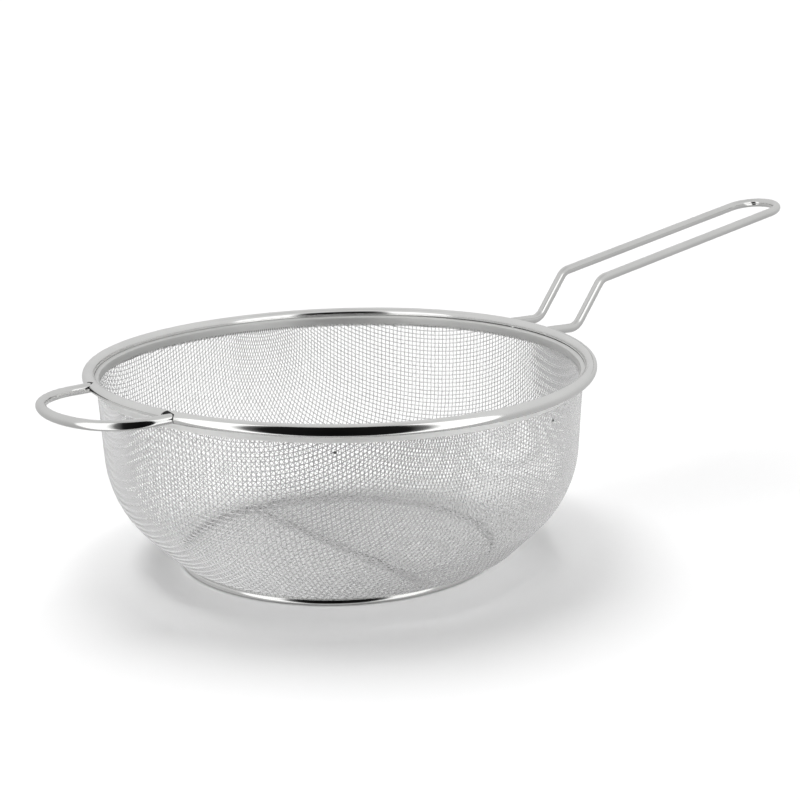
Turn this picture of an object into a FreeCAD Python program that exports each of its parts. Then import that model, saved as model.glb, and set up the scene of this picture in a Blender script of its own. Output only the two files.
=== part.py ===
import FreeCAD, Part
import math
import os
from FreeCAD import Vector

# A round wire-mesh strainer with a wire handle, a wire rest loop and a wire foot ring.
# Millimetres. The bowl stands on the plane z = 0 with its axis on Z.
# The handle points along +X and the rest loop along -X.

# Sheet rim, rolled round a hollow core
RIM_OUTER_D = 220.0
ROLL_R = 2.6            # outer radius of the rolled edge
ROLL_Z = 83.6           # height of the roll's centre
SHEET_T = 0.4
ROLL_END_ANGLE = 195.0  # the roll closes a little below the horizontal on the inner side
LIP_R = 104.15          # inner face of the lip that presses on the cloth from outside
LIP_BOTTOM_Z = 77.9
LIP_FOLD_R = 0.6

# Flat band that clamps the mesh from inside
BAND_T = 0.5
BAND_BOTTOM_Z = 79.1
BAND_TOP_Z = 82.9
BAND_LAP_ANGLE = 25.0   # where the band's two ends lap, from the handle
BAND_LAP_DEG = 4.0
BAND_JOINT_DEG = 0.25

# Woven wire bowl, made here as a closed shell as thick as two wires
CLOTH_T = 0.8
CLOTH_TOP_Z = 82.2
WALL_FOOT = (101.2, 30.5)   # radius and height where the wall's line meets the cone's line
CONE_ANGLE = 45.0
WALL_BEND_R = 46.0
BASE_BEND_R = 14.0

# Foot ring with its cross bar, welded a little off the bowl's axis
FOOT_R = 68.2
FOOT_WIRE_D = 3.0
FOOT_SHIFT = (-3.0, 0.5)
BAR_WIRE_D = 2.8

# Handle and rest loop, bent from one gauge of wire
WIRE_D = 4.2
HANDLE_W = 25.8          # between the two legs' centres
HANDLE_FOOT_X = 126.6    # corner where the flat foot turns up
HANDLE_KNEE = (142.5, 104.5)   # x and z of the corner where the leg turns outward
HANDLE_SLOPE = 9.2       # degrees that the grip rises
HANDLE_U_X = 260.2       # where the end bow starts
FOOT_CORNER_R = 8.0
KNEE_CORNER_R = 7.0
HANDLE_TUCK_DEG = 38.0   # how far each end runs inside the roll
HANDLE_TURN_R = 6.0      # bend from the roll's circle to the leg
LOOP_W = 64.2
LOOP_SPRING_X = -111.6   # where the loop's straight sides end
LOOP_SIDE_R = 24.0
LOOP_CROWN_R = 44.0
LOOP_TURN_R = 5.0
LOOP_TUCK_DEG = 48.0
WIRE_CLEARANCE = 0.4     # gap round a wire where it leaves the roll
SLOT_SET = 0.3           # the slots open the roll's wall from this far outside its centre

# Between the loop's ends the roll is trimmed to an open hook
TRIM_HALF_DEG = 16.5
TRIM_R = 105.4
TRIM_Z = (80.0, 83.4)

ROLL_CENTRE_R = RIM_OUTER_D / 2 - ROLL_R
CLOTH_R = LIP_R - CLOTH_T / 2                  # middle of the cloth at the rim
BASE_Z = FOOT_WIRE_D + CLOTH_T / 2             # middle of the flat base
Z_AXIS = Vector(0, 0, 1)
SAME_POINT = 1e-6       # points nearer than this are one point


def polar(radius, degrees, z=0.0):
    """A point on a circle round the Z axis."""
    a = math.radians(degrees)
    return Vector(radius * math.cos(a), radius * math.sin(a), z)


def section(points):
    """Joins (r, z) points of an outline in the XZ plane. An entry of four numbers is an arc:
    its middle point, then its end point."""
    edges = []
    last = Vector(points[0][0], 0, points[0][1])
    for step in points[1:]:
        if len(step) == 4:
            middle, end = Vector(step[0], 0, step[1]), Vector(step[2], 0, step[3])
            edges.append(Part.Arc(last, middle, end).toShape())
        else:
            end = Vector(step[0], 0, step[1])
            edges.append(Part.LineSegment(last, end).toShape())
        last = end
    return edges


def revolve(points, start=0.0, sweep=360.0):
    """A closed outline of (r, z) points turned round the Z axis."""
    face = Part.Face(Part.Wire(section(points)))
    face.rotate(Vector(), Z_AXIS, start)
    return face.revolve(Vector(), Z_AXIS, sweep)


def wedge(half_degrees, centre_degrees, r_in, r_out, z_low, z_high):
    """A block of a ring, centred on one direction."""
    outline = [(r_in, z_low), (r_out, z_low), (r_out, z_high), (r_in, z_high), (r_in, z_low)]
    return revolve(outline, centre_degrees - half_degrees, 2 * half_degrees)


def on_arc(centre_r, centre_z, radius, degrees):
    """A point (r, z) at a distance and angle from an arc's centre."""
    a = math.radians(degrees)
    return (centre_r + radius * math.cos(a), centre_z + radius * math.sin(a))


def on_roll(radius, degrees):
    """A point (r, z) at a distance and angle from the roll's centre."""
    return on_arc(ROLL_CENTRE_R, ROLL_Z, radius, degrees)


def rounded_path(points, radii):
    """Straight runs joined by tangent arcs. Each inner point has a radius of its own."""
    edges = []
    last = points[0]
    for before, corner, after, radius in zip(points, points[1:], points[2:], radii):
        back = (before - corner).normalize()
        ahead = (after - corner).normalize()
        half = back.getAngle(ahead) / 2
        reach = radius / math.tan(half)
        start, end = corner + back * reach, corner + ahead * reach
        inward = (back + ahead).normalize()
        middle = corner + inward * (radius / math.sin(half) - radius)
        if (start - last).Length > SAME_POINT:
            edges.append(Part.LineSegment(last, start).toShape())
        edges.append(Part.Arc(start, middle, end).toShape())
        last = end
    edges.append(Part.LineSegment(last, points[-1]).toShape())
    return edges


def tucked_end(side_y, turn_r, tuck_deg, towards):
    """Edges of a wire's end: along the roll's circle, then a bend to a straight run
    parallel to X. towards is +1 for the handle's side of the rim, -1 for the loop's."""
    sign = 1.0 if side_y > 0 else -1.0
    centre_y = side_y + sign * turn_r
    centre_x = towards * math.sqrt((ROLL_CENTRE_R + turn_r) ** 2 - centre_y ** 2)
    centre = Vector(centre_x, centre_y, ROLL_Z)
    leave = math.degrees(math.atan2(centre_y, centre_x))
    far = leave + sign * towards * tuck_deg
    mid = leave + sign * towards * tuck_deg / 2
    on_circle = polar(ROLL_CENTRE_R, leave, ROLL_Z)
    straight = Vector(centre_x, side_y, ROLL_Z)
    to_middle = ((on_circle - centre) + (straight - centre)).normalize()
    ring = Part.Arc(polar(ROLL_CENTRE_R, far, ROLL_Z), polar(ROLL_CENTRE_R, mid, ROLL_Z), on_circle)
    bend = Part.Arc(on_circle, centre + to_middle * turn_r, straight)
    return [ring.toShape(), bend.toShape()], straight


def pipe(edges, diameter):
    """A round wire along a smooth path."""
    path = Part.Wire(Part.__sortEdges__(edges))
    first = path.OrderedEdges[0]
    start = path.OrderedVertexes[0].Point
    at_first = (start - first.valueAt(first.FirstParameter)).Length < SAME_POINT
    parameter = first.FirstParameter if at_first else first.LastParameter
    circle = Part.Circle(start, first.tangentAt(parameter), diameter / 2).toShape()
    solid = path.makePipeShell([Part.Wire(circle)], True, False)
    expected = math.pi * diameter ** 2 / 4 * path.Length
    print(f"  wire {diameter} mm, {path.Length:.1f} mm long, volume ratio {solid.Volume / expected:.4f}")
    return solid


def handle_edges():
    """The handle wire's line: two tucked ends, two rising legs and the bow between them."""
    half = HANDLE_W / 2
    rise = math.tan(math.radians(HANDLE_SLOPE))
    knee_x, knee_z = HANDLE_KNEE
    bow_z = knee_z + (HANDLE_U_X - knee_x) * rise
    slope = Vector(math.cos(math.atan(rise)), 0, math.sin(math.atan(rise)))
    edges = []
    for side in (1, -1):
        tuck, start = tucked_end(side * half, HANDLE_TURN_R, HANDLE_TUCK_DEG, 1)
        y = side * half
        route = [
            start,
            Vector(HANDLE_FOOT_X, y, ROLL_Z),
            Vector(knee_x, y, knee_z),
            Vector(HANDLE_U_X, y, bow_z),
        ]
        edges += tuck + rounded_path(route, (FOOT_CORNER_R, KNEE_CORNER_R))
    ends = [Vector(HANDLE_U_X, s * half, bow_z) for s in (1, -1)]
    tip = Vector(HANDLE_U_X, 0, bow_z) + slope * half
    edges.append(Part.Arc(ends[0], tip, ends[1]).toShape())
    return edges


def loop_edges():
    """The rest loop's line: two tucked ends, two short sides and the rounded front."""
    half = LOOP_W / 2
    side_y = half - LOOP_SIDE_R
    depth = math.sqrt((LOOP_CROWN_R - LOOP_SIDE_R) ** 2 - side_y ** 2)
    crown_centre = Vector(LOOP_SPRING_X + depth, 0, ROLL_Z)
    edges, joins = [], []
    for side in (1, -1):
        tuck, start = tucked_end(side * half, LOOP_TURN_R, LOOP_TUCK_DEG, -1)
        spring = Vector(LOOP_SPRING_X, side * half, ROLL_Z)
        side_centre = Vector(LOOP_SPRING_X, side * side_y, ROLL_Z)
        outward = (side_centre - crown_centre).normalize()
        join = side_centre + outward * LOOP_SIDE_R
        middle = side_centre + (outward + Vector(0, side, 0)).normalize() * LOOP_SIDE_R
        edges += tuck + [
            Part.LineSegment(start, spring).toShape(),
            Part.Arc(spring, middle, join).toShape(),
        ]
        joins.append(join)
    crown = crown_centre - Vector(LOOP_CROWN_R, 0, 0)
    edges.append(Part.Arc(joins[0], crown, joins[1]).toShape())
    return edges


def exit_slots():
    """The four openings in the roll's outer wall that the wires leave through."""
    beyond = RIM_OUTER_D / 2 + WIRE_D
    outer_wall = wedge(180, 0, ROLL_CENTRE_R + SLOT_SET, beyond, ROLL_Z - WIRE_D, ROLL_Z + WIRE_D)
    slots = []
    for half, turn_r, towards in ((HANDLE_W / 2, HANDLE_TURN_R, 1), (LOOP_W / 2, LOOP_TURN_R, -1)):
        for side in (1, -1):
            (_, bend), straight = tucked_end(side * half, turn_r, LOOP_TUCK_DEG, towards)
            out = Part.LineSegment(straight, straight + Vector(towards * WIRE_D * 2, 0, 0)).toShape()
            slots.append(pipe([bend, out], WIRE_D + 2 * WIRE_CLEARANCE).common(outer_wall))
    return slots


def rim_roll():
    """Lip, fold, underside and roll, as one bent sheet with slots where the wires leave it."""
    outer, inner = ROLL_R, ROLL_R - SHEET_T
    bottom = ROLL_Z - ROLL_R
    lip_out = LIP_R + SHEET_T
    fold_r, fold_z = lip_out + LIP_FOLD_R, bottom - LIP_FOLD_R
    wide = LIP_FOLD_R + SHEET_T
    end_mid = (ROLL_END_ANGLE - 90) / 2
    outline = [
        (LIP_R, LIP_BOTTOM_Z),
        (lip_out, LIP_BOTTOM_Z),
        (lip_out, fold_z),
        on_arc(fold_r, fold_z, LIP_FOLD_R, 135) + on_arc(fold_r, fold_z, LIP_FOLD_R, 90),
        (ROLL_CENTRE_R, bottom),
        on_roll(outer, end_mid) + on_roll(outer, ROLL_END_ANGLE),
        on_roll(inner, ROLL_END_ANGLE),
        on_roll(inner, end_mid) + (ROLL_CENTRE_R, bottom + SHEET_T),
        (fold_r, bottom + SHEET_T),
        on_arc(fold_r, fold_z, wide, 135) + (LIP_R, fold_z),
        (LIP_R, LIP_BOTTOM_Z),
    ]
    shape = revolve(outline)
    trim = wedge(TRIM_HALF_DEG, 180, TRIM_R, RIM_OUTER_D / 2 + ROLL_R, *TRIM_Z)
    shape = shape.cut(trim)
    for slot in exit_slots():
        shape = shape.cut(slot)
    return shape


def inner_band():
    """A flat strip bent into a ring, with its end laps pressed together at one place."""
    r_out = CLOTH_R - CLOTH_T / 2
    r_in = r_out - BAND_T
    z = (BAND_BOTTOM_Z, BAND_TOP_Z)
    ring = wedge(180 - BAND_JOINT_DEG / 2, BAND_LAP_ANGLE + 180, r_in, r_out, *z)
    lap = wedge(BAND_LAP_DEG / 2, BAND_LAP_ANGLE - BAND_LAP_DEG / 2, r_in - BAND_T, r_in, *z)
    return ring.fuse(lap)


def cloth_line(offset):
    """The bowl's profile from the rim to the axis, moved along its normal by offset.
    Plus is outward."""
    wall_top = (CLOTH_R, LIP_BOTTOM_Z)
    wall_a = math.atan2(WALL_FOOT[0] - wall_top[0], WALL_FOOT[1] - wall_top[1])
    wall_dir = Vector(math.sin(wall_a), 0, math.cos(wall_a))
    cone_a = math.radians(CONE_ANGLE)
    cone_dir = Vector(-math.cos(cone_a), 0, -math.sin(cone_a))
    corner = Vector(WALL_FOOT[0], 0, WALL_FOOT[1])
    base = corner + cone_dir * ((WALL_FOOT[1] - BASE_Z) / math.sin(cone_a))
    points = [Vector(wall_top[0], 0, wall_top[1]), corner, base, Vector(0, 0, BASE_Z)]
    steps = [(CLOTH_R + offset, CLOTH_TOP_Z), (CLOTH_R + offset, LIP_BOTTOM_Z)]
    normals = []
    for a, b in zip(points, points[1:]):
        run = (b - a).normalize()
        normals.append(Vector(-run.z, 0, run.x))
    for i, radius in ((1, WALL_BEND_R), (2, BASE_BEND_R)):
        into, out = normals[i - 1], normals[i]
        half = into.getAngle(out) / 2
        bisector = (into + out).normalize()
        centre = points[i] - bisector * (radius / math.cos(half))
        arc = [centre + n * (radius + offset) for n in (into, bisector, out)]
        steps.append((arc[0].x, arc[0].z))
        steps.append((arc[1].x, arc[1].z, arc[2].x, arc[2].z))
    steps.append((0.0, BASE_Z - offset))
    return steps


def reverse_steps(steps):
    """The same outline walked the other way."""
    turned = [steps[-1][-2:]]
    for here, before in zip(steps[::-1], steps[-2::-1]):
        end = before[-2:]
        turned.append(here[:2] + end if len(here) == 4 else end)
    return turned


def mesh_bowl():
    """The woven cloth's closed shell."""
    outside = cloth_line(CLOTH_T / 2)
    inside = cloth_line(-CLOTH_T / 2)
    return revolve(outside + reverse_steps(inside) + [outside[0]])


def foot_ring():
    """A plain ring of round wire under the flat base."""
    ring = Part.makeTorus(FOOT_R, FOOT_WIRE_D / 2)
    ring.translate(Vector(FOOT_SHIFT[0], FOOT_SHIFT[1], FOOT_WIRE_D / 2))
    return ring


def foot_bar():
    """A straight wire across the foot ring, shaped to the ring at both ends."""
    start = Vector(FOOT_SHIFT[0], FOOT_SHIFT[1] - FOOT_R, FOOT_WIRE_D / 2)
    bar = Part.makeCylinder(BAR_WIRE_D / 2, 2 * FOOT_R, start, Vector(0, 1, 0))
    pieces = bar.cut(foot_ring()).Solids
    return max(pieces, key=lambda piece: piece.Volume)


NODES = {
    "rim_roll": rim_roll,
    "inner_band": inner_band,
    "mesh_bowl": mesh_bowl,
    "handle_wire": lambda: pipe(handle_edges(), WIRE_D),
    "rest_loop": lambda: pipe(loop_edges(), WIRE_D),
    "foot_ring": foot_ring,
    "foot_bar": foot_bar,
}

os.makedirs("parts", exist_ok=True)
for name, make in NODES.items():
    shape = make()
    box = shape.BoundBox
    print(f"{name}: solids {len(shape.Solids)}, valid {shape.isValid()}, volume {shape.Volume:.0f} mm3, "
          f"x {box.XMin:.1f}..{box.XMax:.1f}, y {box.YMin:.1f}..{box.YMax:.1f}, "
          f"z {box.ZMin:.1f}..{box.ZMax:.1f}")
    shape.exportStep(f"parts/{name}.step")
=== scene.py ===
import math

import bmesh
import bpy
import numpy as np
from mathutils import Matrix, Vector


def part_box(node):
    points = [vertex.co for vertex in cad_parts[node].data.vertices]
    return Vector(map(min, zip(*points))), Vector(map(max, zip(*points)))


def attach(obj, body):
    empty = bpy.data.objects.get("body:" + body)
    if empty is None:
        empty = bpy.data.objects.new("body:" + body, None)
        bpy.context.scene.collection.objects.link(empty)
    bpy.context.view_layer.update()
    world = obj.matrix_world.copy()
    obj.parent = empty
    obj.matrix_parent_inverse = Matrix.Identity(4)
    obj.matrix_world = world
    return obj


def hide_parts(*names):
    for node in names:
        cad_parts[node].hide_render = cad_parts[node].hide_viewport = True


# A round strainer: a bowl of plain-woven wire in a rolled steel rim, with a wire handle,
# a wire rest loop and a wire foot ring. Metres, in the CAD frame: +Z up, handle along +X.

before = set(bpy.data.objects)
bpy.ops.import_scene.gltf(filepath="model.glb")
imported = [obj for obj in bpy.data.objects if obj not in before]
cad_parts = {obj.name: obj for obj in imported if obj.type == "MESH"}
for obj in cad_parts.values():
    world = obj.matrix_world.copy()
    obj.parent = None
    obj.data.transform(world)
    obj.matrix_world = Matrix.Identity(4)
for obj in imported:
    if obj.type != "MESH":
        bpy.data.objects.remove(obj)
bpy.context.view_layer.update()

MM = 0.001
TURN = 2 * math.pi

# ---- Sizes read from the frame
rim_low, rim_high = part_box("rim_roll")
band_low, band_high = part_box("inner_band")
bowl_low, bowl_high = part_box("mesh_bowl")
loop_low, loop_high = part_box("rest_loop")
handle_low, handle_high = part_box("handle_wire")
ring_low, ring_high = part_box("foot_ring")
bar_low, bar_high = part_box("foot_bar")

# ---- Rim: a hollow roll with a lip under it
ROLL_R = 2.6 * MM
SHEET_T = 0.4 * MM
LIP_FOLD_R = 0.6 * MM
ROLL_END_DEG = 195
RIM_R = rim_high.y
ROLL_Z = rim_high.z - ROLL_R
ROLL_CENTRE_R = RIM_R - ROLL_R
LIP_LOW_Z = rim_low.z
RIM_STEPS = 720
ROLL_OUT_STEPS, ROLL_IN_STEPS, FOLD_STEPS, LIP_STEPS = 58, 40, 7, 5
SHEET_CORNER = 0.15 * MM
SHARP_DEG = 42              # a cut edge bends more than this
SLOT_GAP = 1.1 * MM         # beside and over a wire where it leaves the roll
SLOT_LIFT = 0.4 * MM
SLOT_FROM_R = 108.3 * MM
SLOT_IN_SHARE = 0.6         # of SLOT_GAP that a slot is set towards the wire's own middle
CUTTER_STEPS = 40
OPEN_HALF_DEG = 15.7        # between the loop's ends the roll is an open hook
OPEN_FROM_R = 105.4 * MM
OPEN_Z = (80.0 * MM, 83.4 * MM)
SLIM_SHARE = 0.12           # how much narrower the roll is beside the wires' exits
SLIM_FROM_DEG, SLIM_TO_DEG = 17, 50
SLIM_HEIGHT_SHARE = 0.65    # of the slimming that lowers the roll's section
RIM_WARP = 0.7 * MM         # the rim rises this much at the handle and loop, and sinks between

# ---- Inner band: a flat strip whose top edge leans out and meets the roll
BAND_T = 0.5 * MM
BAND_STEPS = 720
BAND_CORNER = 0.12 * MM
BAND_FLARE = 1.6 * MM
BAND_RISE = 0.9 * MM
LAP_FROM_DEG, LAP_TO_DEG = 21, 25
LAP_BLEND_DEG = 2
LAP_OFFSET = 1.02 * BAND_T

# ---- Bowl of woven wire
CLOTH_T = 0.8 * MM
CLOTH_PITCH = 1.95 * MM
CLOTH_WIRE_R = 0.205 * MM
CLOTH_TURN_DEG = 30         # the weave's own axes, from the handle
CLOTH_TOP_R = bowl_high.y - CLOTH_T / 2
CLOTH_TOP_Z = bowl_high.z
BASE_Z = bowl_low.z + CLOTH_T / 2
WALL_FOOT = (101.2 * MM, 30.5 * MM)
CONE_DEG = 45
WALL_BEND_R = 46 * MM
BASE_BEND_R = 14 * MM
WALL_RUN = 200 * MM         # more than the wall needs; the cloth is cut at CLOTH_TOP_Z
CLOTH_SIDES = 6
CLOTH_STEPS = 2             # tube sections for each crossing
CLOTH_PARTS = 4             # objects for each of the two families of wires
CLOTH_JITTER = 0.018        # of the pitch
AXIS_ROUNDS, NET_ROUNDS = 5, 8
MARKS = ((-127.5, 74 * MM), (-71, 72.5 * MM))       # angle and height of each burnt spot
MARK_HIGH, MARK_WIDE, MARK_THICK = 0.55 * MM, 0.6 * MM, 0.35 * MM
MARK_ROWS, MARK_SIDES = 9, 12

# ---- Wires
WIRE_R = (loop_high.z - loop_low.z) / 2
WIRE_SIDES = 32
ARC_STEP, LINE_STEP, LOOP_LINE_STEP = 0.5 * MM, 2 * MM, 0.7 * MM
HANDLE_HALF = 12.9 * MM
HANDLE_FOOT_X = 126.6 * MM
HANDLE_KNEE = (142.5 * MM, 104.5 * MM)
HANDLE_SLOPE_DEG = 9.2
FOOT_CORNER_R = 8 * MM
KNEE_CORNER_R = 7 * MM
HANDLE_TUCK_DEG = 38
HANDLE_TURN_R = 1 * MM
LOOP_HALF = 32.1 * MM
LOOP_SIDE_R = 24 * MM
LOOP_CROWN_R = 44 * MM
LOOP_TURN_R = 1 * MM
LOOP_TUCK_DEG = 48
FOOT_STEPS, BAR_STEPS = 360, 121
BAR_END_IN = 0.6            # of the foot wire's radius that the bar's ends reach into the ring
BAR_SWELL, BAR_SWELL_REACH = 0.14, 2.2 * MM

# ---- Surfaces
TINT_BAND = (0.35, 0.65)    # noise levels between which a steel's colour changes
TINT_DARK = 0.96
GLOSS_BAND = (0.3, 0.7)
FINE_DETAIL, BROAD_DETAIL = 3.0, 2.0
FOOT_SHADE = [(-1.5 * MM, 0.06), (-0.2 * MM, 0.08), (0.5 * MM, 1.0)]    # painted shade levels, from the ring's middle line
FOOT_SHADE_REACH = 1.6 * MM
POLISHED, MATTE, INSIDE_SHADE = range(3)        # the rim's materials

# ---- Camera and stage
CAMERA_AT = Vector((-0.4444, -0.6155, 0.2642))
CAMERA_TO = Vector((0.0201, -0.0155, 0.0671))
CAMERA_ROLL_DEG = -0.82
CAMERA_LENS = 81.4
ROOM_LIGHT = 0.22
SUN_LIGHT = 3.0
SUN_SPREAD_DEG = 46
SUN_LEAN = 0.31             # the light leans in from behind the strainer
SUN_LEFT = 0.14
TENT_BY_HEIGHT = [(-1.0, 0.45), (-0.2, 0.56), (0.3, 0.68), (0.8, 0.72), (1.0, 0.60)]
SCREEN_AWAY = 0.17
SCREEN_HALF = 0.36
SCREEN_LOW, SCREEN_HIGH = -0.50, 0.40
SCREEN_LIGHT = [(0, 0.004), (0.068, 0.01), (0.088, 0.18), (0.109, 1.30), (0.36, 1.30)]
SCREEN_SIDE_FADE = [(0, 1), (0.30, 1), (0.36, 0)]
SCREEN_TOP_FADE = [(-0.5, 1), (0.30, 1), (0.40, 0)]
SCRIM_R = 90 * MM
SCRIM_Z = 22 * MM
SCRIM_CLEAR = 0.61
SCRIM_SIDES = 96
FLOOR_HALF = 30.0


# ------------------------------------------------------------------ mesh helpers

def add_object(name, mesh):
    obj = bpy.data.objects.new(name, mesh)
    bpy.context.scene.collection.objects.link(obj)
    return obj


def new_object(name, verts, faces, smooth=True):
    mesh = bpy.data.meshes.new(name)
    mesh.from_pydata(np.asarray(verts).tolist(), [], [list(face) for face in faces])
    mesh.update()
    mesh.polygons.foreach_set("use_smooth", np.full(len(mesh.polygons), smooth))
    return add_object(name, mesh)


def grid_faces(rows, columns, closed_rows, closed_columns):
    """Quads of a grid of points, stored row by row."""
    row = np.arange(rows if closed_rows else rows - 1)
    column = np.arange(columns if closed_columns else columns - 1)
    r, c = np.meshgrid(row, column, indexing="ij")
    r2, c2 = (r + 1) % rows, (c + 1) % columns
    quads = np.stack([r * columns + c, r2 * columns + c, r2 * columns + c2, r * columns + c2], -1)
    return quads.reshape(-1, 4)


def unit(v):
    return v / np.linalg.norm(v, axis=-1, keepdims=True)


def path_tangents(path, closed):
    if closed:
        return unit(np.roll(path, -1, 0) - np.roll(path, 1, 0))
    return unit(np.gradient(path, axis=0))


def sweep_wire(name, path, radius, sides=WIRE_SIDES, closed=False, swell=None):
    """A round wire along a path. swell multiplies the radius at each point."""
    path = np.asarray(path, float)
    tangents = path_tangents(path, closed)
    side = np.cross(tangents[0], (0.0, 0.0, 1.0))
    if np.linalg.norm(side) < 0.1:
        side = np.cross(tangents[0], (0.0, 1.0, 0.0))
    side = unit(side)
    angles = np.arange(sides) * TURN / sides
    swell = np.ones(len(path)) if swell is None else swell
    rings = []
    for point, tangent, scale in zip(path, tangents, swell):
        side = unit(side - tangent * (side @ tangent))
        up = np.cross(side, tangent)
        ring = point + radius * scale * (np.outer(np.cos(angles), side) + np.outer(np.sin(angles), up))
        rings.append(ring)
    verts = np.concatenate(rings)
    faces = grid_faces(len(path), sides, closed, True)[:, ::-1].tolist()
    if not closed:
        last = len(verts) - sides
        faces.append(list(range(sides)))
        faces.append([last + i for i in reversed(range(sides))])
    obj = new_object(name, verts, faces)
    if not closed:
        for cap in obj.data.polygons[-2:]:
            cap.use_smooth = False
    return obj


def arc(centre, start, end, step=ARC_STEP):
    """Points from start to end on the short arc round centre, without the first one."""
    a, b = start - centre, end - centre
    radius = np.linalg.norm(a)
    angle = math.acos(np.clip(a @ b / (radius * np.linalg.norm(b)), -1, 1))
    count = max(3, int(radius * angle / step))
    t = np.arange(1, count + 1)[:, None] / count
    return centre + (np.sin((1 - t) * angle) * a + np.sin(t * angle) * b) / math.sin(angle)


def line(start, end, step=LINE_STEP):
    """Points from start to end on a straight run, without the first one."""
    count = max(1, int(np.linalg.norm(end - start) / step))
    return start + (end - start) * (np.arange(1, count + 1)[:, None] / count)


def rounded(points, radii):
    """Straight runs joined by tangent arcs, from the first point to the last."""
    runs = [points[0][None]]
    last = points[0]
    for before, corner, after, radius in zip(points, points[1:], points[2:], radii):
        back, ahead = unit(before - corner), unit(after - corner)
        half = math.acos(np.clip(back @ ahead, -1, 1)) / 2
        reach = radius / math.tan(half)
        start, end = corner + back * reach, corner + ahead * reach
        centre = corner + unit(back + ahead) * radius / math.sin(half)
        runs += [line(last, start), arc(centre, start, end)]
        last = end
    runs.append(line(last, points[-1]))
    return np.concatenate(runs)


def polar(radius, radians, z):
    return np.array([radius * math.cos(radians), radius * math.sin(radians), z])


def warp(co):
    """The rim as made isn't quite level: it rises at the handle and the loop."""
    co = np.array(co, float)
    radius = np.hypot(co[:, 0], co[:, 1])
    angle = np.arctan2(co[:, 1], co[:, 0])
    inside = np.clip(radius / RIM_R, 0, 1) ** 2
    beyond = np.clip((HANDLE_FOOT_X - radius) / (HANDLE_FOOT_X - RIM_R), 0, 1)
    height = np.clip(co[:, 2] / ROLL_Z, 0, 1)
    at_handle = (co[:, 0] > 0) & (radius > RIM_R)
    share = np.where(at_handle, beyond, 1.0) * inside * height
    co[:, 2] += RIM_WARP * np.cos(2 * angle) * share
    return co


def warp_object(obj):
    mesh = obj.data
    co = np.empty(len(mesh.vertices) * 3)
    mesh.vertices.foreach_get("co", co)
    mesh.vertices.foreach_set("co", warp(co.reshape(-1, 3)).ravel())
    mesh.update()


# ------------------------------------------------------------------ materials

def ramp(tree, source, low, high, stops):
    """A grey level that follows source, given as (source, level) stops."""
    share = tree.nodes.new("ShaderNodeMapRange")
    share.inputs["From Min"].default_value = low
    share.inputs["From Max"].default_value = high
    tree.links.new(source, share.inputs["Value"])
    node = tree.nodes.new("ShaderNodeValToRGB")
    elements = node.color_ramp.elements
    while len(elements) < len(stops):
        elements.new(0.5)
    for element, (at, value) in zip(elements, stops):
        element.position = (at - low) / (high - low)
        element.color = (value, value, value, 1.0)
    tree.links.new(share.outputs["Result"], node.inputs["Fac"])
    return node.outputs["Color"]


def new_material(name):
    material = bpy.data.materials.new(name)
    material.use_nodes = True
    return material, material.node_tree


def noise(tree, place, scale, detail):
    node = tree.nodes.new("ShaderNodeTexNoise")
    node.inputs["Scale"].default_value = scale
    node.inputs["Detail"].default_value = detail
    tree.links.new(place, node.inputs["Vector"])
    return node.outputs["Fac"]


def steel(name, colour, rough, spread, waves=0.0, wave_scale=60.0, grain=1400.0, metal=1.0):
    """Bare steel. Its colour, roughness and surface vary a little, from noise."""
    material, tree = new_material(name)
    shader = tree.nodes["Principled BSDF"]
    shader.inputs["Metallic"].default_value = metal
    place = tree.nodes.new("ShaderNodeTexCoord").outputs["Object"]
    fine = noise(tree, place, grain, FINE_DETAIL)
    broad = noise(tree, place, wave_scale, BROAD_DETAIL)

    tint = tree.nodes.new("ShaderNodeValToRGB")
    shades = ([c * TINT_DARK for c in colour], list(colour))
    for element, at, shade in zip(tint.color_ramp.elements, TINT_BAND, shades):
        element.position = at
        element.color = shade + [1.0]
    tree.links.new(broad, tint.inputs["Fac"])
    tree.links.new(tint.outputs["Color"], shader.inputs["Base Color"])

    gloss = tree.nodes.new("ShaderNodeMapRange")
    gloss.inputs["From Min"].default_value, gloss.inputs["From Max"].default_value = GLOSS_BAND
    gloss.inputs["To Min"].default_value = rough - spread
    gloss.inputs["To Max"].default_value = rough + spread
    tree.links.new(fine, gloss.inputs["Value"])
    tree.links.new(gloss.outputs["Result"], shader.inputs["Roughness"])

    if waves:
        bump = tree.nodes.new("ShaderNodeBump")
        bump.inputs["Strength"].default_value = 1.0
        bump.inputs["Distance"].default_value = waves
        tree.links.new(broad, bump.inputs["Height"])
        tree.links.new(bump.outputs["Normal"], shader.inputs["Normal"])
    return material


def paint_inner_shade(material, centre, radius):
    """Darkens a ring's inner and upper side nearly to black: painted shade under the cloth that hangs over
    it.
    """
    tree = material.node_tree
    shader = tree.nodes["Principled BSDF"]
    place = tree.nodes.new("ShaderNodeTexCoord")
    away = tree.nodes.new("ShaderNodeVectorMath")
    away.operation = "DISTANCE"
    away.inputs[1].default_value = (centre[0], centre[1], 0.0)
    tree.links.new(place.outputs["Object"], away.inputs[0])
    stops = [(radius + off, level) for off, level in FOOT_SHADE]
    level = ramp(tree, away.outputs["Value"], radius - FOOT_SHADE_REACH, radius + FOOT_SHADE_REACH, stops)
    mix = tree.nodes.new("ShaderNodeMix")
    mix.data_type = "RGBA"
    mix.blend_type = "MULTIPLY"
    mix.inputs["Factor"].default_value = 1.0
    tree.links.new(shader.inputs["Base Color"].links[0].from_socket, mix.inputs["A"])
    tree.links.new(level, mix.inputs["B"])
    tree.links.new(mix.outputs["Result"], shader.inputs["Base Color"])


def plain(name, colour, rough, metal):
    """A surface too small, or too hidden, for any pattern to show on it."""
    material, tree = new_material(name)
    shader = tree.nodes["Principled BSDF"]
    shader.inputs["Metallic"].default_value = metal
    shader.inputs["Base Color"].default_value = list(colour) + [1.0]
    shader.inputs["Roughness"].default_value = rough
    return material


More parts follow.
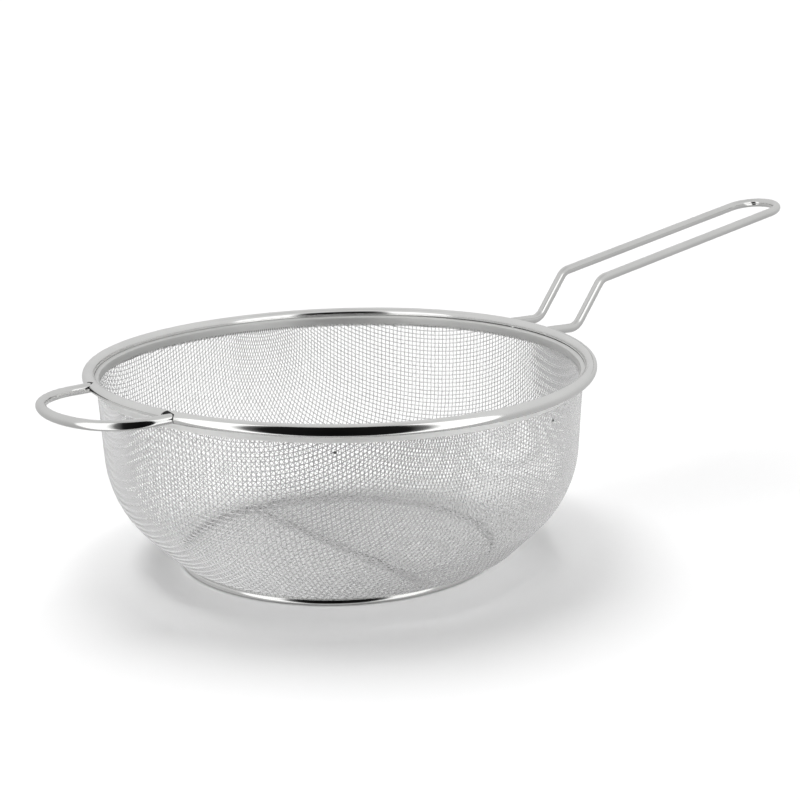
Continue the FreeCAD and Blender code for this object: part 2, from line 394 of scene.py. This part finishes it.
foot_wire_r = (ring_high.z - ring_low.z) / 2
foot_radius = (ring_high.x - ring_low.x) / 2 - foot_wire_r
foot_centre = ((ring_high.x + ring_low.x) / 2, (ring_high.y + ring_low.y) / 2, foot_wire_r)

polished = steel("polished_sheet", (0.88, 0.88, 0.87), 0.10, 0.025, waves=0.02 * MM)
matte_lip = steel("matte_sheet", (0.93, 0.93, 0.92), 0.50, 0.05, metal=0.12)
band_steel = steel("band_sheet", (0.68, 0.68, 0.67), 0.42, 0.06, metal=0.6)
wire_steel = steel("bright_wire", (0.80, 0.80, 0.79), 0.11, 0.03, waves=0.02 * MM)
foot_steel = steel("foot_wire", (0.80, 0.80, 0.79), 0.14, 0.03)
# The foot bar's near-black colour is painted shade, for the dark under the cloth where it lies.
bar_painted_shade = steel("foot_bar_painted_shade", (0.08, 0.08, 0.075), 0.30, 0.05)
# painted shade on the foot ring's inner side, under the cloth
paint_inner_shade(foot_steel, foot_centre, foot_radius)
cloth_steel = plain("mesh_wire", (0.93, 0.93, 0.93), 0.26, metal=0.72)
burnt = plain("burnt_spot", (0.10, 0.10, 0.10), 0.6, metal=0.3)
# near black: painted shade inside the hollow roll
inside_painted_shade = plain("sheet_inside_painted_shade", (0.03, 0.03, 0.03), 0.7, metal=0.0)


def finish_piece(obj, materials, slot, *replaced):
    for material in materials:
        obj.data.materials.append(material)
    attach(obj, "root")
    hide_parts(*replaced)


# ------------------------------------------------------------------ wires

def tucked_end(half, turn_r, tuck_deg, side, towards):
    """From a wire's end inside the roll, along it and round the bend to the straight run."""
    centre_y = side * (half + turn_r)
    centre_x = towards * math.sqrt((ROLL_CENTRE_R + turn_r) ** 2 - centre_y ** 2)
    leave = math.atan2(centre_y, centre_x)
    tuck = side * towards * math.radians(tuck_deg)
    middle = np.array([0.0, 0.0, ROLL_Z])
    far, near = polar(ROLL_CENTRE_R, leave + tuck, ROLL_Z), polar(ROLL_CENTRE_R, leave, ROLL_Z)
    straight = np.array([centre_x, side * half, ROLL_Z])
    inside = np.concatenate([far[None], arc(middle, far, near, LINE_STEP)])
    bend = arc(np.array([centre_x, centre_y, ROLL_Z]), near, straight)
    return inside, bend, straight


def handle_path():
    rise = math.tan(math.radians(HANDLE_SLOPE_DEG))
    slope = np.array([math.cos(math.atan(rise)), 0, math.sin(math.atan(rise))])
    knee_x, knee_z = HANDLE_KNEE
    bow_x = handle_high.x - WIRE_R - HANDLE_HALF * slope[0]
    bow_z = knee_z + (bow_x - knee_x) * rise
    halves = []
    for side in (1, -1):
        inside, bend, straight = tucked_end(HANDLE_HALF, HANDLE_TURN_R, HANDLE_TUCK_DEG, side, 1)
        y = side * HANDLE_HALF
        route = [
            straight,
            np.array([HANDLE_FOOT_X, y, ROLL_Z]),
            np.array([knee_x, y, knee_z]),
            np.array([bow_x, y, bow_z]),
        ]
        legs = rounded(route, (FOOT_CORNER_R, KNEE_CORNER_R))[1:]
        halves.append(np.concatenate([inside, bend, legs]))
    centre = np.array([bow_x, 0, bow_z])
    tip = centre + slope * HANDLE_HALF
    bow = np.concatenate([arc(centre, halves[0][-1], tip), arc(centre, tip, halves[1][-1])[:-1]])
    return np.concatenate([halves[0], bow, halves[1][::-1]])


def loop_path():
    side_y = LOOP_HALF - LOOP_SIDE_R
    depth = math.sqrt((LOOP_CROWN_R - LOOP_SIDE_R) ** 2 - side_y ** 2)
    crown_x = loop_low.x + WIRE_R + LOOP_CROWN_R
    spring_x = crown_x - depth
    crown_centre = np.array([crown_x, 0, ROLL_Z])
    halves = []
    for side in (1, -1):
        inside, bend, straight = tucked_end(LOOP_HALF, LOOP_TURN_R, LOOP_TUCK_DEG, side, -1)
        spring = np.array([spring_x, side * LOOP_HALF, ROLL_Z])
        side_centre = np.array([spring_x, side * side_y, ROLL_Z])
        join = side_centre + unit(side_centre - crown_centre) * LOOP_SIDE_R
        sides = np.concatenate([line(straight, spring, LOOP_LINE_STEP), arc(side_centre, spring, join)])
        halves.append(np.concatenate([inside, bend, sides]))
    crown = arc(crown_centre, halves[0][-1], halves[1][-1])[:-1]
    return np.concatenate([halves[0], crown, halves[1][::-1]])


def make_wires():
    handle = sweep_wire("handle_wire_bright", warp(handle_path()), WIRE_R)
    finish_piece(handle, [wire_steel], "bright_wire", "handle_wire")
    loop = sweep_wire("rest_loop_bright", warp(loop_path()), WIRE_R)
    finish_piece(loop, [wire_steel], "bright_wire", "rest_loop")


def make_foot():
    """The ring, and the bar across it, which swells a little at its two welds."""
    centre = np.array(foot_centre)
    angles = np.arange(FOOT_STEPS) * TURN / FOOT_STEPS
    path = centre + foot_radius * np.stack([np.cos(angles), np.sin(angles), 0 * angles], -1)
    ring = sweep_wire("foot_ring_bright", path, foot_wire_r, closed=True)
    finish_piece(ring, [foot_steel], "foot_wire", "foot_ring")

    bar_r = (bar_high.x - bar_low.x) / 2
    bar_half = foot_radius - foot_wire_r * BAR_END_IN
    reach = np.linspace(-1, 1, BAR_STEPS)
    path = centre + np.stack([0 * reach, bar_half * reach, 0 * reach], -1)
    to_end = (1 - np.abs(reach)) * foot_radius
    swell = 1 + BAR_SWELL * np.exp(-(to_end / BAR_SWELL_REACH) ** 2)
    bar = sweep_wire("foot_bar_bright", path, bar_r, swell=swell)
    finish_piece(bar, [bar_painted_shade], "foot_wire", "foot_bar")


# ------------------------------------------------------------------ rim and band

def circle_run(centre_r, centre_z, radius, from_deg, to_deg, count):
    a = np.radians(np.linspace(from_deg, to_deg, count))
    return np.stack([centre_r + radius * np.cos(a), centre_z + radius * np.sin(a)], -1)


def rim_outline():
    """The bent sheet's section as (r, z), round its outside and back along its inside."""
    inner = ROLL_R - SHEET_T
    bottom = ROLL_Z - ROLL_R
    lip_in = bowl_high.y
    lip_out = lip_in + SHEET_T
    fold_r, fold_z = lip_out + LIP_FOLD_R, bottom - LIP_FOLD_R
    corner = SHEET_CORNER
    runs = [
        [(lip_in + corner, LIP_LOW_Z), (lip_out - corner, LIP_LOW_Z), (lip_out, LIP_LOW_Z + corner)],
        np.linspace((lip_out, LIP_LOW_Z + 2 * corner), (lip_out, fold_z), LIP_STEPS),
        circle_run(fold_r, fold_z, LIP_FOLD_R, 180, 90, FOLD_STEPS)[1:],
        circle_run(ROLL_CENTRE_R, ROLL_Z, ROLL_R, -90, ROLL_END_DEG, ROLL_OUT_STEPS),
        circle_run(ROLL_CENTRE_R, ROLL_Z, inner, ROLL_END_DEG, -90, ROLL_IN_STEPS),
        circle_run(fold_r, fold_z, LIP_FOLD_R + SHEET_T, 90, 180, FOLD_STEPS),
        [(lip_in, LIP_LOW_Z + 2 * corner), (lip_in, LIP_LOW_Z + corner)],
    ]
    return np.concatenate([np.asarray(run, float) for run in runs])


def slimness(angles):
    """How full the roll is, from 1 down to 1 - SLIM_SHARE beside the wires' exits."""
    full = np.ones_like(angles)
    for where in (0.0, math.pi):
        off = np.degrees(np.abs((angles - where + math.pi) % TURN - math.pi))
        t = np.clip((off - SLIM_FROM_DEG) / (SLIM_TO_DEG - SLIM_FROM_DEG), 0, 1)
        full = np.minimum(full, 1 - SLIM_SHARE * (1 - t * t * (3 - 2 * t)))
    return full


def ring_block(name, half_deg, centre_deg, r_low, r_high, z_low, z_high):
    """A closed block of a ring, used to cut the rim."""
    a = np.radians(np.linspace(centre_deg - half_deg, centre_deg + half_deg, CUTTER_STEPS))
    corners = [(r_low, z_low), (r_high, z_low), (r_high, z_high), (r_low, z_high)]
    verts = [polar(r, angle, z) for angle in a for r, z in corners]
    faces = grid_faces(CUTTER_STEPS, 4, False, True).tolist()
    last = 4 * (CUTTER_STEPS - 1)
    faces += [[3, 2, 1, 0], [last, last + 1, last + 2, last + 3]]
    return new_object(name, verts, faces, smooth=False)


def cut(obj, cutter):
    """Takes the cutter's space out of obj, and removes the cutter."""
    change = obj.modifiers.new("cut", "BOOLEAN")
    change.operation = "DIFFERENCE"
    change.solver = "EXACT"
    change.object = cutter
    graph = bpy.context.evaluated_depsgraph_get()
    mesh = bpy.data.meshes.new_from_object(obj.evaluated_get(graph))
    obj.modifiers.clear()
    obj.data = mesh
    bpy.data.objects.remove(cutter)


def exit_cutters():
    """A short wide tube over each wire where it leaves the roll, set to the wires' middle."""
    for half, towards in ((HANDLE_HALF, 1), (LOOP_HALF, -1)):
        for side in (1, -1):
            y, z = side * (half - SLOT_IN_SHARE * SLOT_GAP), ROLL_Z + SLOT_LIFT
            start = np.array([towards * math.sqrt(SLOT_FROM_R ** 2 - y ** 2), y, z])
            out = start + np.array([towards * 4 * WIRE_R, 0, 0])
            path = np.concatenate([start[None], line(start, out)])
            yield sweep_wire("cutter", path, WIRE_R + SLOT_GAP, sides=CUTTER_STEPS)


def recalc(obj):
    """Turns all faces outward and marks the sheet's cut edges as sharp."""
    mesh = bmesh.new()
    mesh.from_mesh(obj.data)
    bmesh.ops.recalc_face_normals(mesh, faces=mesh.faces)
    for edge in mesh.edges:
        if len(edge.link_faces) == 2:
            edge.smooth = edge.calc_face_angle() < math.radians(SHARP_DEG)
    for face in mesh.faces:
        face.smooth = True
    mesh.to_mesh(obj.data)
    mesh.free()


def paint_rim(mesh):
    """Gives the lip its matte surface and the roll's inside a near-black one, painted shade in its hollow,
    by where each face is.
    """
    centres = np.empty(len(mesh.polygons) * 3)
    mesh.polygons.foreach_get("center", centres)
    x, y, z = centres.reshape(-1, 3).T
    z = z - RIM_WARP * np.cos(2 * np.arctan2(y, x))
    r = np.hypot(x, y)
    fold_r, fold_z = bowl_high.y + SHEET_T + LIP_FOLD_R, ROLL_Z - ROLL_R - LIP_FOLD_R * 0.3
    lip = (z < fold_z) & (r < fold_r)
    inside = np.hypot(r - ROLL_CENTRE_R, z - ROLL_Z) < ROLL_R - SHEET_T * 0.6
    zones = np.where(lip, MATTE, np.where(inside, INSIDE_SHADE, POLISHED))
    mesh.polygons.foreach_set("material_index", zones.astype(np.int32))
    mesh.update()


def make_rim():
    outline = rim_outline()
    angles = np.arange(RIM_STEPS) * TURN / RIM_STEPS
    r, z = outline[:, 0], outline[:, 1]
    keep = 1 - SLIM_HEIGHT_SHARE * (1 - slimness(angles)[:, None])
    top_z = ROLL_Z + ROLL_R
    rolled = (z > LIP_LOW_Z + ROLL_R) & (r > bowl_high.y + SHEET_T)
    height = np.where(rolled, top_z + (z - top_z) * keep, z)
    verts = np.stack([np.outer(np.cos(angles), r), np.outer(np.sin(angles), r), height], -1)
    faces = grid_faces(RIM_STEPS, len(outline), True, True)
    rim = new_object("rim_polished", verts.reshape(-1, 3), faces)
    recalc(rim)
    cut(rim, ring_block("cutter", OPEN_HALF_DEG, 180, OPEN_FROM_R, RIM_R + ROLL_R, *OPEN_Z))
    for cutter in exit_cutters():
        cut(rim, cutter)
    recalc(rim)
    warp_object(rim)
    finish_piece(rim, [polished, matte_lip, inside_painted_shade], "polished_sheet", "rim_roll")
    paint_rim(rim.data)


def make_band():
    """The flat strip inside the cloth, one end lapping over the other."""
    r_out = bowl_high.y - CLOTH_T
    start = math.radians(LAP_TO_DEG)
    end = start + TURN + math.radians(LAP_TO_DEG - LAP_FROM_DEG)
    blend = math.radians(LAP_BLEND_DEG)
    angles = np.linspace(start, end, BAND_STEPS)
    t = np.clip((angles - (start + TURN - blend)) / blend, 0, 1)
    offset = -LAP_OFFSET * t * t * (3 - 2 * t)
    low, high, edge = band_low.z, band_high.z, BAND_CORNER
    thick, flare, rise = BAND_T, BAND_FLARE, BAND_RISE
    section = np.array([
        (0, low + edge), (0, high - 1.6 * rise), (0.3 * flare, high - 1.1 * rise),
        (flare, high - 0.4 * rise), (flare - edge, high - 0.05 * rise), (-0.1 * flare, high - 0.75 * rise),
        (-thick, high - 1.6 * rise), (-thick, low + edge), (-thick + edge, low), (-edge, low),
    ])
    radius = r_out + offset[:, None] + section[:, 0]
    z = np.broadcast_to(section[:, 1], radius.shape)
    verts = np.stack([radius * np.cos(angles)[:, None], radius * np.sin(angles)[:, None], z], -1)
    faces = grid_faces(BAND_STEPS, len(section), False, True).tolist()
    last = (BAND_STEPS - 1) * len(section)
    faces += [list(range(len(section))), [last + i for i in reversed(range(len(section)))]]
    band = new_object("inner_band_strip", warp(verts.reshape(-1, 3)), faces)
    recalc(band)
    finish_piece(band, [band_steel], "band_sheet", "inner_band")


# ------------------------------------------------------------------ woven bowl

def bowl_profile():
    """Line and arc pieces of the cloth's middle surface from the axis to above the rim.
    Each is (length, start point, start direction, curvature), in the (r, z) plane."""
    corner = np.array(WALL_FOOT)
    cone = np.array([math.cos(math.radians(CONE_DEG)), math.sin(math.radians(CONE_DEG))])
    base_corner = corner - cone * (corner[1] - BASE_Z) / cone[1]
    wall = unit(np.array([CLOTH_TOP_R, LIP_LOW_Z]) - corner)
    flat = np.array([1.0, 0.0])
    pieces = []
    at = np.array([0.0, BASE_Z])
    for corner_at, into, out, radius in (
        (base_corner, flat, cone, BASE_BEND_R), (corner, cone, wall, WALL_BEND_R),
    ):
        turn = math.acos(into @ out)
        reach = radius * math.tan(turn / 2)
        start = corner_at - into * reach
        pieces.append((np.linalg.norm(start - at), at, into, 0.0))
        pieces.append((radius * turn, start, into, 1 / radius))
        at = corner_at + out * reach
    pieces.append((WALL_RUN, at, wall, 0.0))
    return pieces


PROFILE = bowl_profile()


def on_profile(s):
    """Points and tangents (r, z) of the cloth's profile at distances s from the axis."""
    s = np.asarray(s, float)
    point, direction = np.zeros(s.shape + (2,)), np.zeros(s.shape + (2,))
    begin = 0.0
    for i, (length, start, into, bend) in enumerate(PROFILE):
        here = s >= begin if i else np.ones(s.shape, bool)
        along = np.where(here, s - begin, 0.0)
        normal = np.array([-into[1], into[0]])
        if bend:
            a = along * bend
            p = start + (np.sin(a)[..., None] * into + (1 - np.cos(a))[..., None] * normal) / bend
            d = np.cos(a)[..., None] * into + np.sin(a)[..., None] * normal
        else:
            p = start + along[..., None] * into
            d = np.broadcast_to(into, p.shape)
        point = np.where(here[..., None], p, point)
        direction = np.where(here[..., None], d, direction)
        begin += length
    return point, direction


def on_bowl(s, angle):
    """Points on the cloth, with the two directions along the surface."""
    p, d = on_profile(s)
    c, sn = np.cos(angle), np.sin(angle)
    point = np.stack([p[..., 0] * c, p[..., 0] * sn, p[..., 1]], -1)
    up = np.stack([d[..., 0] * c, d[..., 0] * sn, d[..., 1]], -1)
    around = np.stack([-p[..., 0] * sn, p[..., 0] * c, np.zeros_like(c)], -1)
    return point, up, around


def lay_net(count):
    """Places one quarter of the weave's crossings on the bowl. Neighbours stay one pitch apart,
    as in a net of wires pinned where they cross, so the cells shear where the bowl needs it."""
    i, j = np.meshgrid(np.arange(count), np.arange(count), indexing="ij")
    flat_r = PROFILE[0][0]
    step = CLOTH_PITCH
    reach = np.hypot(i, j) * step
    s, angle = reach.copy(), np.arctan2(j, i)
    for k in range(1, count):       # the two wires through the middle run straight up the wall
        for row, column, a in ((k, 0, 0.0), (0, k, math.pi / 2)):
            last = s[k - 1, 0] if column == 0 else s[0, k - 1]
            guess = last + step
            before = on_bowl(np.array(last), np.array(a))[0]
            for _ in range(AXIS_ROUNDS):
                point, up, _ = on_bowl(np.array(guess), np.array(a))
                gap = point - before
                guess -= (gap @ gap - step ** 2) / (2 * gap @ up)
            s[row, column], angle[row, column] = guess, a
    for total in range(2, 2 * count - 1):
        a = np.arange(max(1, total - count + 1), min(count, total))
        b = total - a
        a, b = a[reach[a, b] > flat_r - step], b[reach[a, b] > flat_r - step]
        if not len(a):
            continue
        left = on_bowl(s[a - 1, b], angle[a - 1, b])[0]
        right = on_bowl(s[a, b - 1], angle[a, b - 1])[0]
        u = s[a - 1, b] + s[a, b - 1] - s[a - 1, b - 1]
        v = angle[a - 1, b] + angle[a, b - 1] - angle[a - 1, b - 1]
        for _ in range(NET_ROUNDS):
            point, up, around = on_bowl(u, v)
            g, h = point - left, point - right
            e1 = (g * g).sum(-1) - step ** 2
            e2 = (h * h).sum(-1) - step ** 2
            j11, j12 = 2 * (g * up).sum(-1), 2 * (g * around).sum(-1)
            j21, j22 = 2 * (h * up).sum(-1), 2 * (h * around).sum(-1)
            det = j11 * j22 - j12 * j21
            det = np.where(np.abs(det) < 1e-12, 1e-12, det)
            du = np.clip((e1 * j22 - e2 * j12) / det, -step, step)
            dv = np.clip((j11 * e2 - j21 * e1) / det, -0.1, 0.1)
            u, v = u - du, v - dv
        s[a, b], angle[a, b] = u, v
    return s, angle


def whole_net(count):
    """All four quarters of the weave, as (s, angle) for crossings -n..n each way."""
    s, angle = lay_net(count)
    n = count - 1
    i, j = np.meshgrid(np.arange(-n, n + 1), np.arange(-n, n + 1), indexing="ij")
    s, angle = s[np.abs(i), np.abs(j)], angle[np.abs(i), np.abs(j)]
    x = np.cos(angle) * np.where(i < 0, -1, 1)
    y = np.sin(angle) * np.where(j < 0, -1, 1)
    return s, np.arctan2(y, x)


def crossings():
    """Points and outward normals of all crossings, and which ones are on the bowl."""
    top_s = sum(piece[0] for piece in PROFILE[:-1])
    wall_start, wall_dir = PROFILE[-1][1], PROFILE[-1][2]
    top_s += (CLOTH_TOP_Z - wall_start[1]) / wall_dir[1]
    count = int(top_s / CLOTH_PITCH) + 4
    s, angle = whole_net(count)
    rng = np.random.default_rng(7)
    shake = rng.normal(0, CLOTH_JITTER * CLOTH_PITCH, s.shape + (2,))
    s = np.abs(s + shake[..., 0])
    angle = angle + shake[..., 1] / np.maximum(on_profile(s)[0][..., 0], CLOTH_PITCH * 4)
    angle = angle + math.radians(CLOTH_TURN_DEG)
    point = on_bowl(s, angle)[0]
    d = on_profile(s)[1]
    c, sn = np.cos(angle), np.sin(angle)
    normal = np.stack([d[..., 1] * c, d[..., 1] * sn, -d[..., 0]], -1)
    centre = count - 1
    normal[centre, centre] = (0, 0, -1)
    return point, normal, s <= top_s


def weave_wires(points, normals, on_cloth, first_sign):
    """Tubes of one family of wires. Wire i runs along row i and passes over and under."""
    verts, faces = [], []
    angles = np.arange(CLOTH_SIDES) * TURN / CLOTH_SIDES
    base = 0
    for i in range(len(points)):
        keep = np.flatnonzero(on_cloth[i])
        if len(keep) < 3:
            continue
        a, b = keep[0], keep[-1] + 1
        p, n = points[i, a:b], normals[i, a:b]
        sign = first_sign[i, a:b]
        t = np.arange((len(p) - 1) * CLOTH_STEPS + 1) / CLOTH_STEPS
        whole = np.arange(len(p))
        p = np.stack([np.interp(t, whole, p[:, k]) for k in range(3)], -1)
        n = unit(np.stack([np.interp(t, whole, n[:, k]) for k in range(3)], -1))
        p = p + n * (np.interp(t, whole, sign) * CLOTH_WIRE_R)[:, None]
        tangent = path_tangents(p, False)
        side = unit(np.cross(tangent, n))
        up = np.cross(side, tangent)
        ring = p[:, None] + CLOTH_WIRE_R * (
            np.cos(angles)[None, :, None] * side[:, None] + np.sin(angles)[None, :, None] * up[:, None]
        )
        verts.append(ring.reshape(-1, 3))
        faces.append(grid_faces(len(p), CLOTH_SIDES, False, True) + base)
        base += ring.shape[0] * CLOTH_SIDES
    return np.concatenate(verts), np.concatenate(faces)


def fast_object(name, verts, faces):
    """A mesh of quads made from arrays."""
    mesh = bpy.data.meshes.new(name)
    mesh.vertices.add(len(verts))
    mesh.vertices.foreach_set("co", verts.astype(np.float32).ravel())
    mesh.loops.add(len(faces) * 4)
    mesh.loops.foreach_set("vertex_index", faces.astype(np.int32).ravel())
    mesh.polygons.add(len(faces))
    mesh.polygons.foreach_set("loop_start", np.arange(len(faces), dtype=np.int32) * 4)
    mesh.polygons.foreach_set("use_smooth", np.ones(len(faces), bool))
    mesh.update(calc_edges=True)
    return add_object(name, mesh)


def make_cloth():
    points, normals, on_cloth = crossings()
    size = points.shape[0]
    i, j = np.meshgrid(np.arange(size), np.arange(size), indexing="ij")
    over = np.where((i + j) % 2 == 0, 1.0, -1.0)
    families = {
        "warp": (points, normals, on_cloth, over),
        "weft": (points.transpose(1, 0, 2), normals.transpose(1, 0, 2), on_cloth.T, -over.T),
    }
    edges = np.linspace(0, size, CLOTH_PARTS + 1).astype(int)
    for family, arrays in families.items():
        for part, (low, high) in enumerate(zip(edges, edges[1:]), start=1):
            verts, faces = weave_wires(*(values[low:high] for values in arrays))
            obj = fast_object(f"mesh_{family}_{part}", warp(verts), faces)
            finish_piece(obj, [cloth_steel], "mesh_wire", "mesh_bowl")


def make_marks():
    """Small burnt spots where the cloth was tacked before the rim was rolled."""
    for number, (degrees, z) in enumerate(MARKS, start=1):
        a = math.radians(degrees)
        out = np.array([math.cos(a), math.sin(a), 0.0])
        across = np.array([-math.sin(a), math.cos(a), 0.0])
        ring = np.arange(MARK_SIDES) * TURN / MARK_SIDES
        ragged = 1 + 0.25 * np.sin(3 * ring + number)
        rows = []
        for up in np.linspace(-1, 1, MARK_ROWS):
            wide = math.sqrt(max(1 - up * up, 0.02))
            middle = (CLOTH_TOP_R + CLOTH_T * 0.2) * out + np.array([0, 0, z + up * MARK_HIGH])
            sideways = np.outer(np.cos(ring) * ragged, across) * wide * MARK_WIDE
            outwards = np.outer(np.sin(ring), out) * wide * MARK_THICK
            rows.append(middle + sideways + outwards)
        last = (MARK_ROWS - 1) * MARK_SIDES
        caps = [list(range(MARK_SIDES)), [last + i for i in reversed(range(MARK_SIDES))]]
        faces = grid_faces(MARK_ROWS, MARK_SIDES, False, True).tolist() + caps
        mark = new_object(f"mesh_mark_{number}", np.concatenate(rows), faces)
        finish_piece(mark, [burnt], "mesh_wire", "mesh_bowl")


# ------------------------------------------------------------------ stage, light, camera

def plane(name, corners, material):
    """A flat piece of the stage with the given corners."""
    obj = new_object(name, corners, [range(len(corners))], smooth=False)
    obj.data.materials.append(material)
    return obj


def make_floor():
    half = FLOOR_HALF
    corners = [(-half, -half, 0), (half, -half, 0), (half, half, 0), (-half, half, 0)]
    paint = plain("pale_floor", (0.93, 0.93, 0.93), 1.0, metal=0.0)
    paint.node_tree.nodes["Principled BSDF"].inputs["Specular IOR Level"].default_value = 0.0
    floor = plane("floor", corners, paint)
    floor.visible_glossy = False


def make_screen():
    """A screen before the strainer, seen only in the steel: black in the middle, bright beside it."""
    toward = CAMERA_AT - CAMERA_TO
    out = Vector((toward.x, toward.y, 0)).normalized()
    across = Vector((-out.y, out.x, 0))
    corners = [
        out * SCREEN_AWAY + across * (side * SCREEN_HALF) + Vector((0, 0, z))
        for side, z in ((-1, SCREEN_LOW), (1, SCREEN_LOW), (1, SCREEN_HIGH), (-1, SCREEN_HIGH))
    ]
    screen = plane("screen", [tuple(c) for c in corners], screen_material(across))
    screen.visible_camera = False
    screen.visible_diffuse = False
    screen.visible_shadow = False
    screen.visible_transmission = False


def make_scrim():
    """A disc close over the floor, which deepens the shadow by the foot. It only stops light."""
    material, tree = new_material("scrim_gauze")
    clear = tree.nodes.new("ShaderNodeBsdfTransparent")
    clear.inputs["Color"].default_value = (SCRIM_CLEAR, SCRIM_CLEAR, SCRIM_CLEAR, 1.0)
    tree.links.new(clear.outputs["BSDF"], tree.nodes["Material Output"].inputs["Surface"])
    corners = [polar(SCRIM_R, a, SCRIM_Z) for a in np.arange(SCRIM_SIDES) * TURN / SCRIM_SIDES]
    scrim = plane("scrim", corners, material)
    scrim.visible_camera = False
    scrim.visible_diffuse = False
    scrim.visible_glossy = False
    scrim.visible_transmission = False


def screen_material(across):
    """Light that depends on the distance from the screen's middle, clear at its edges."""
    material, tree = new_material("screen_light")
    tree.nodes.remove(tree.nodes["Principled BSDF"])
    place = tree.nodes.new("ShaderNodeTexCoord")
    along = tree.nodes.new("ShaderNodeVectorMath")
    along.operation = "DOT_PRODUCT"
    along.inputs[1].default_value = across
    tree.links.new(place.outputs["Object"], along.inputs[0])
    off = tree.nodes.new("ShaderNodeMath")
    off.operation = "ABSOLUTE"
    tree.links.new(along.outputs["Value"], off.inputs[0])
    split = tree.nodes.new("ShaderNodeSeparateXYZ")
    tree.links.new(place.outputs["Object"], split.inputs["Vector"])
    light = ramp(tree, off.outputs["Value"], 0, SCREEN_HALF, SCREEN_LIGHT)
    glow = tree.nodes.new("ShaderNodeEmission")
    tree.links.new(light, glow.inputs["Color"])
    clear = tree.nodes.new("ShaderNodeBsdfTransparent")
    side = ramp(tree, off.outputs["Value"], 0, SCREEN_HALF, SCREEN_SIDE_FADE)
    top = ramp(tree, split.outputs["Z"], SCREEN_LOW, SCREEN_HIGH, SCREEN_TOP_FADE)
    both = tree.nodes.new("ShaderNodeMath")
    both.operation = "MULTIPLY"
    tree.links.new(side, both.inputs[0])
    tree.links.new(top, both.inputs[1])
    blend = tree.nodes.new("ShaderNodeMixShader")
    tree.links.new(both.outputs["Value"], blend.inputs["Fac"])
    tree.links.new(clear.outputs["BSDF"], blend.inputs[1])
    tree.links.new(glow.outputs["Emission"], blend.inputs[2])
    tree.links.new(blend.outputs["Shader"], tree.nodes["Material Output"].inputs["Surface"])
    return material


def make_world():
    """A white room, which the steel shows as a grey tent."""
    world = bpy.data.worlds.new("studio")
    bpy.context.scene.world = world
    world.use_nodes = True
    tree = world.node_tree
    place = tree.nodes.new("ShaderNodeTexCoord")
    split = tree.nodes.new("ShaderNodeSeparateXYZ")
    tree.links.new(place.outputs["Generated"], split.inputs["Vector"])
    tent = ramp(tree, split.outputs["Z"], -1, 1, TENT_BY_HEIGHT)
    path = tree.nodes.new("ShaderNodeLightPath")
    in_steel = tree.nodes.new("ShaderNodeMix")
    in_camera = tree.nodes.new("ShaderNodeMix")
    for mix, ray in ((in_steel, "Is Glossy Ray"), (in_camera, "Is Camera Ray")):
        mix.data_type = "RGBA"
        tree.links.new(path.outputs[ray], mix.inputs["Factor"])
    in_steel.inputs["A"].default_value = (ROOM_LIGHT, ROOM_LIGHT, ROOM_LIGHT, 1.0)
    tree.links.new(tent, in_steel.inputs["B"])
    tree.links.new(in_steel.outputs["Result"], in_camera.inputs["A"])
    in_camera.inputs["B"].default_value = (1.0, 1.0, 1.0, 1.0)
    tree.links.new(in_camera.outputs["Result"], tree.nodes["Background"].inputs["Color"])


def make_light():
    data = bpy.data.lights.new("overhead", "SUN")
    data.angle = math.radians(SUN_SPREAD_DEG)
    data.energy = SUN_LIGHT
    light = bpy.data.objects.new("overhead", data)
    away = CAMERA_TO - CAMERA_AT
    away.z = 0
    away.normalize()
    left = Vector((-away.y, away.x, 0))
    source = away * SUN_LEAN + left * SUN_LEFT + Vector((0, 0, 1))
    light.rotation_euler = source.to_track_quat("Z", "Y").to_euler()
    light.visible_glossy = False
    bpy.context.scene.collection.objects.link(light)


def make_camera():
    data = bpy.data.cameras.new("camera")
    data.lens = CAMERA_LENS
    data.clip_start = 0.01
    camera = bpy.data.objects.new("camera", data)
    turn = (CAMERA_TO - CAMERA_AT).to_track_quat("-Z", "Y").to_matrix().to_4x4()
    roll = Matrix.Rotation(math.radians(CAMERA_ROLL_DEG), 4, "Z")
    camera.matrix_world = Matrix.Translation(CAMERA_AT) @ turn @ roll
    bpy.context.scene.collection.objects.link(camera)
    bpy.context.scene.camera = camera
    bpy.context.scene.view_settings.view_transform = "Standard"


make_camera()
make_floor()
make_screen()
make_scrim()
make_world()
make_light()
make_wires()
make_foot()
make_rim()
make_band()
make_cloth()
make_marks()
